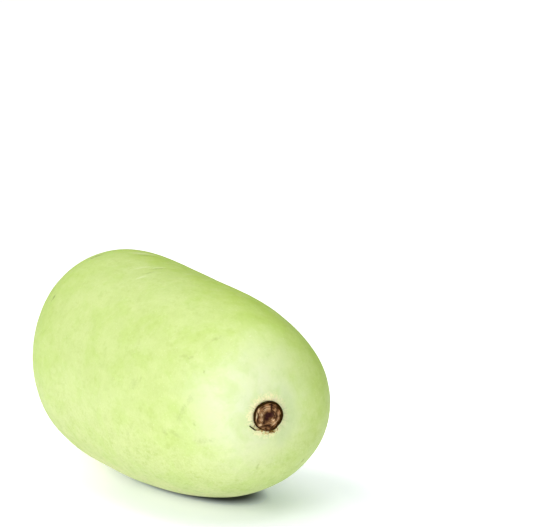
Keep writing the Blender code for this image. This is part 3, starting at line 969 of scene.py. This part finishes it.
def thread_taper(run):
    """Thin where the thread leaves the scar, thicker past its kink, with a blunt tip."""
    return 0.60 + 0.40 * smoothstep(0.40, 0.58, run) - 0.45 * smoothstep(0.93, 1.0, run)


def threads(name, routes, radius, taper):
    """Thin strands along routes, as one mesh with closed ends; taper gives the thickness along each."""
    curve = bpy.data.curves.new(name, "CURVE")
    curve.dimensions = "3D"
    curve.bevel_depth = radius
    curve.bevel_resolution = 0 if len(routes) > 1 else 2
    curve.use_fill_caps = True
    for route in routes:
        line = curve.splines.new("POLY")
        line.points.add(len(route) - 1)
        for index, point in enumerate(route):
            line.points[index].co = (*point, 1)
            line.points[index].radius = taper(index / (len(route) - 1))
    guide = linked(name, curve)
    bpy.context.view_layer.update()
    mesh = bpy.data.meshes.new_from_object(guide.evaluated_get(bpy.context.evaluated_depsgraph_get()))
    bpy.data.objects.remove(guide, do_unlink=True)
    mesh.shade_smooth()
    return linked(name, mesh)


def stem_outline():
    """The solid's outline from the root's middle over the flare and the stub to the middle of the cut."""
    top = STEM_LENGTH
    foot = [(-STEM_ROOT, 0), (-STEM_ROOT, 0.5), (-STEM_ROOT, 0.97), (0.0000, 1), (0.0003, 0.96),
            (0.0009, 0.87), (0.0021, 0.78), (0.0043, 0.70)]
    stub = [(0.5 * top, 1.03), (0.7 * top, 1), (0.9 * top, 1.01), (top, 1.03)]
    cut = [(CUT_EDGE, 0.98), (top + 0.0001, 0.92), (top - 0.0004, 0.85), (top - 0.0002, 0.62),
           (top - 0.0004, 0.40), (top - 0.0002, 0.25), (top - 0.0007, 0.15), (top - 0.0007, 0)]
    flared = [(height, share * FLARE_RADIUS) for height, share in foot]
    return flared + [(height, share * STEM_RADIUS) for height, share in stub + cut]


def rib_at(angle):
    """Height of the ribs round the stem, from about -1.3 in a furrow to about 0.8 on a rib."""
    return cos(RIB_COUNT * angle) - 0.28 * cos(2 * RIB_COUNT * angle + 0.4)


def stem_point(point):
    """Ribs that fade up the stub, a foot that follows the skin, a slight bow and a slanted cut."""
    plain, angle = polar(point)
    rise = smoothstep(0.0, 0.7 * STEM_LENGTH, point.x)
    rib_share = RIB_SHARE_AT_FLARE + (RIB_SHARE_AT_CUT - RIB_SHARE_AT_FLARE) * rise
    radius = plain * (1 + rib_share * rib_at(angle) + 0.02 * sin(angle + 0.7))
    foot = 1 - smoothstep(0.001, 0.006, point.x)
    height = point.x - foot * stem_end_drop(radius)
    height += CUT_SLANT * radius * sin(angle + 1.0) * smoothstep(0.75, 1.0, point.x / STEM_LENGTH)
    bow = STEM_BOW * max(0.0, point.x / STEM_LENGTH) ** 2
    placed = from_polar(height, radius, angle)
    placed.y -= bow
    placed.z += 0.4 * bow
    return placed


class GOURD_OT_stem(bpy.types.Operator):
    """Make the ribbed stem stub with its cut face"""
    bl_idname = "gourd.stem"
    bl_label = "Stem"

    def execute(self, context):
        settings = context.scene.gourd_stem
        shape = turned(smooth_outline(stem_outline(), 4), settings.steps)
        rows = []
        for vertex in shape.verts:
            plain, angle = polar(vertex.co)
            rise = vertex.co.x / STEM_LENGTH
            crust = smoothstep(-0.1, 0.5, cos(angle - CRUST_ANGLE) + 0.4 * noise.noise(vertex.co * 500))
            on_cut = smoothstep(1.00, 0.94, plain / STEM_RADIUS)
            on_cut *= smoothstep(0.9, 0.96, vertex.co.x / CUT_EDGE)
            grain = noise.noise(Vector((7 * cos(angle), 7 * sin(angle), vertex.co.x * 60)))
            crumb = noise.noise(vertex.co * 900)
            rib = 0.5 + 0.5 * rib_at(angle) + 0.15 * grain
            rows.append((rise, rib, on_cut, plain / STEM_RADIUS, crust))
            torn = crust * smoothstep(0.72, 0.85, rise)
            side = 1 + (0.018 * grain + 0.006 * crumb) * (1 - on_cut) + 0.022 * torn * crumb
            vertex.co.y *= side
            vertex.co.z *= side
            vertex.co = stem_point(vertex.co)
            vertex.co.x += on_cut * 0.00012 * crumb
            vertex.co.x -= 0.0002 * smoothstep(0.8, 1.0, rise)
        made = as_object(shape, "gourd_stem", STEM_PLACE)
        store(made, STALK_VALUES, rows)
        replace_node(made, "stem", stem_material(settings))
        return {"FINISHED"}


class GOURD_OT_hairs(bpy.types.Operator):
    """Grow the fine white hairs round the foot of the stem"""
    bl_idname = "gourd.hairs"
    bl_label = "Stem hairs"

    def execute(self, context):
        settings = context.scene.gourd_hairs
        chance = random.Random(HAIR_SEED)
        routes = [hair_route(chance, settings.length) for _ in range(settings.count)]
        made = threads("gourd_stem_hairs", routes, settings.radius, lambda run: 1.15 - 0.9 * run)
        made.data.transform(STEM_PLACE)
        made.data.materials.append(hair_material())
        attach(made, "root")
        return {"FINISHED"}


def hair_route(chance, usual):
    """Four points of a hair that leaves the flare or the skin beside it and lies outwards."""
    furrow = (chance.randrange(RIB_COUNT) + 0.5) * 2 * pi / RIB_COUNT + chance.gauss(0, 0.30)
    angle = furrow if chance.random() < 0.65 else chance.uniform(-pi, pi)
    reach = chance.triangular(0.72, 1.14, 0.96)
    rib = 1 + RIB_SHARE_AT_FLARE * rib_at(angle)
    radius = FLARE_RADIUS * rib * reach
    length = usual * chance.uniform(0.5, 1.3)
    sweep = chance.gauss(0, 0.5)
    lift = chance.uniform(0.15, 0.75)
    on_flare = max(0.0, 1.0 - reach)
    height = 0.0004 - stem_end_drop(radius) + 0.028 * on_flare ** 1.6
    root = from_polar(height, radius, angle)
    out = Vector((0, cos(angle + sweep), sin(angle + sweep)))
    route = []
    for step in range(4):
        t = step / 3
        rise = lift * length * (t - 0.75 * t * t)
        route.append(root + out * length * t * 0.9 + Vector((rise, 0, 0)))
    return route


class GOURD_OT_stage(bpy.types.Operator):
    """Set the plain floor, the soft studio light and the camera"""
    bl_idname = "gourd.stage"
    bl_label = "Stage"

    def execute(self, context):
        settings = context.scene.gourd_stage
        add_floor()
        add_sky()
        add_soft_light("key", settings.key_power, Vector((0.72, -1.14, 0.70)), 1.0)
        add_soft_light("top", settings.top_power, Vector((0.12, 0.34, 1.6)), 1.4)
        add_camera(settings)
        context.scene.view_settings.view_transform = "Standard"
        context.scene.view_settings.look = "None"
        return {"FINISHED"}


def add_floor():
    """A wide plain disc under the gourd."""
    shape = bmesh.new()
    bmesh.ops.create_circle(shape, cap_ends=True, segments=96, radius=FLOOR_RADIUS)
    made = as_object(shape, "studio_floor", Matrix.Identity(4))
    made.data.materials.append(floor_material())


def add_sky():
    """White backdrop whose light is weaker and greener from the far right."""
    recipe = Recipe("studio", sky=True)
    side = recipe.add("ShaderNodeVectorMath", {0: recipe.place, 1: DIM_SIDE}, operation="DOT_PRODUCT")
    fall = recipe.add("ShaderNodeMapRange", dict(enumerate((side.outputs["Value"], *DIM_RANGE))))
    light = recipe.blend(fall.outputs[0], BRIGHT_SKY, DIM_SKY)
    seen = recipe.add("ShaderNodeLightPath").outputs["Is Camera Ray"]
    recipe.set("Color", recipe.blend(seen, light, SEEN_SKY))
    bpy.context.scene.world = recipe.made


def add_soft_light(name, power, place, size):
    """A large square light that faces the gourd."""
    light = bpy.data.lights.new(name, "AREA")
    light.energy = power
    light.size = size
    made = linked(name, light)
    made.location = place
    made.rotation_euler = (LIGHT_AIM - place).to_track_quat("-Z", "Y").to_euler()


def add_camera(settings):
    """The photograph's view: a long lens, from the blossom end's side, a little above the floor."""
    towards = Vector((sin(settings.azimuth) * cos(settings.elevation),
                      -cos(settings.azimuth) * cos(settings.elevation), sin(settings.elevation)))
    lens = bpy.data.cameras.new("camera")
    lens.sensor_width = SENSOR_WIDTH
    lens.lens = FOCAL_PIXELS / IMAGE_WIDTH * SENSOR_WIDTH
    lens.clip_start = 0.01
    made = linked("camera", lens)
    made.location = AIM + towards * settings.distance
    made.rotation_euler = (-towards).to_track_quat("-Z", "Y").to_euler()
    bpy.context.scene.camera = made


class GOURD_PT_sidebar(bpy.types.Panel):
    """Lists the pieces and their settings"""
    bl_idname = "GOURD_PT_sidebar"
    bl_label = "Bottle gourd"
    bl_space_type = "VIEW_3D"
    bl_region_type = "UI"
    bl_category = "Gourd"

    def draw(self, context):
        for operator, name, group in STEPS:
            box = self.layout.box()
            box.operator(operator.bl_idname)
            for setting in group.__annotations__:
                box.prop(getattr(context.scene, name), setting)


STEPS = [(GOURD_OT_fruit, "gourd_skin", GourdSkinSettings), (GOURD_OT_scar, "gourd_scar", GourdScarSettings),
         (GOURD_OT_stem, "gourd_stem", GourdStemSettings), (GOURD_OT_hairs, "gourd_hairs", GourdHairSettings),
         (GOURD_OT_stage, "gourd_stage", GourdStageSettings)]


def register():
    for operator, name, group in STEPS:
        bpy.utils.register_class(group)
        setattr(bpy.types.Scene, name, PointerProperty(type=group))
        bpy.utils.register_class(operator)
    bpy.utils.register_class(GOURD_PT_sidebar)


def unregister():
    bpy.utils.unregister_class(GOURD_PT_sidebar)
    for operator, name, group in reversed(STEPS):
        bpy.utils.unregister_class(operator)
        delattr(bpy.types.Scene, name)
        bpy.utils.unregister_class(group)


def main():
    """Makes every piece and the stage."""
    register()
    bpy.ops.gourd.fruit()
    bpy.ops.gourd.scar()
    bpy.ops.gourd.stem()
    bpy.ops.gourd.hairs()
    bpy.ops.gourd.stage()


if __name__ == "__main__":
    main()
